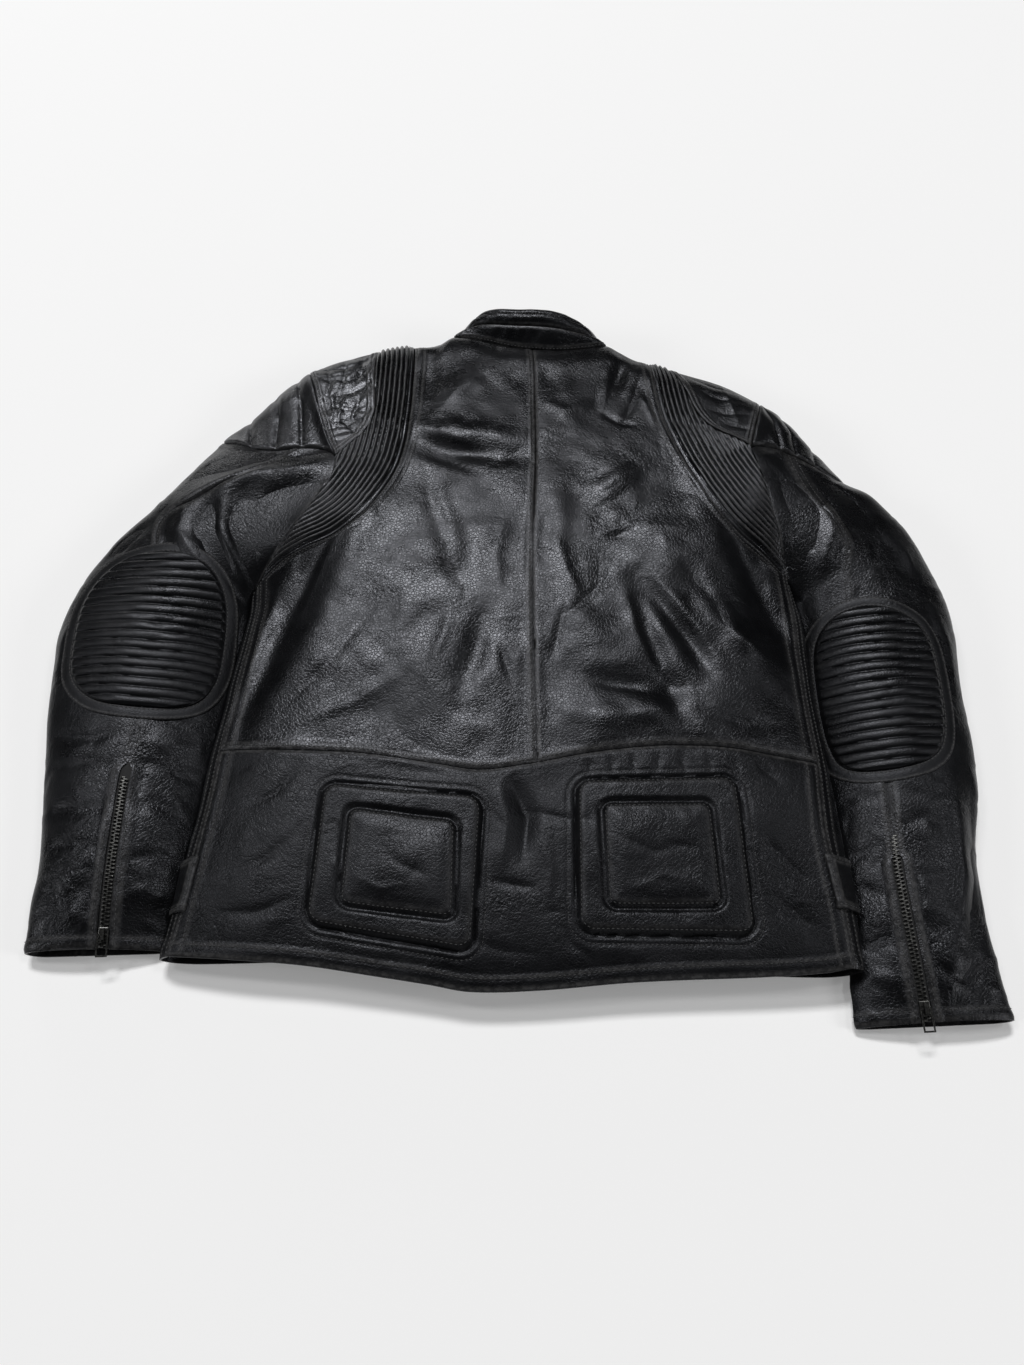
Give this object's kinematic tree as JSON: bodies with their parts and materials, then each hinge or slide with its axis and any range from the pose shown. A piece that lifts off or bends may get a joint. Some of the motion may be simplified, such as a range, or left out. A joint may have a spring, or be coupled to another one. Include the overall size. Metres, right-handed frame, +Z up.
{
  "type": "leather riding jacket",
  "caption": "Black leather riding jacket laid flat with its back up: quilted kidney pads, ribbed stretch strips, ribbed elbow pads, zipped cuffs and a padded collar.",
  "frame": {"origin": "centre of the jacket's plan, on the surface it lies on", "axes": "+X toward the sleeve shown at the right, +Y from the hem toward the collar, +Z up from the surface through the back panels"},
  "size_m": [0.7836, 0.7041, 0.068],
  "materials": {
    "leather_black": "black full-grain cowhide, semi-gloss",
    "leather_ribbed": "thin black leather stitched into fine ribs",
    "zip_tape": "black woven zip tape with its chain",
    "zip_metal": "dark gunmetal"
  },
  "bodies": {
    "jacket": {"back_left": "leather_black", "back_right": "leather_black", "kidney_panel": "leather_black", "shoulder_patch_left": "leather_black", "shoulder_patch_right": "leather_black", "shoulder_pad_left": "leather_black", "shoulder_pad_right": "leather_black", "sleeve_inner_left": "leather_black", "sleeve_inner_right": "leather_black", "sleeve_outer_left": "leather_black", "sleeve_outer_right": "leather_black", "elbow_ring_left": "leather_black", "elbow_ring_right": "leather_black", "elbow_pad_left": "leather_black", "elbow_pad_right": "leather_black", "front_left": "leather_black", "front_right": "leather_black", "collar_stand": "leather_black", "collar_roll": "leather_black", "side_tab_left": "leather_black", "side_tab_right": "leather_black", "stretch_strip_left": "leather_ribbed", "stretch_strip_right": "leather_ribbed", "cuff_zip_left": "zip_tape", "cuff_zip_right": "zip_tape", "front_zip": "zip_tape", "cuff_slider_left": "zip_metal", "cuff_slider_right": "zip_metal"},
    "pull_left": {"cuff_pull_left": "zip_metal"},
    "pull_right": {"cuff_pull_right": "zip_metal"}
  },
  "joints": [
    {"name": "pull_left_turn", "type": "hinge", "parent": "jacket", "child": "pull_left", "pos_m": [-0.30245, -0.28255, 0.02402], "axis": [-0.9891, -0.0632, 0.1332], "range_deg": [0, 150]},
    {"name": "pull_right_turn", "type": "hinge", "parent": "jacket", "child": "pull_right", "pos_m": [0.30279, -0.33581, 0.02249], "axis": [-0.9915, -0.0343, -0.1257], "range_deg": [0, 150]}
  ]
}
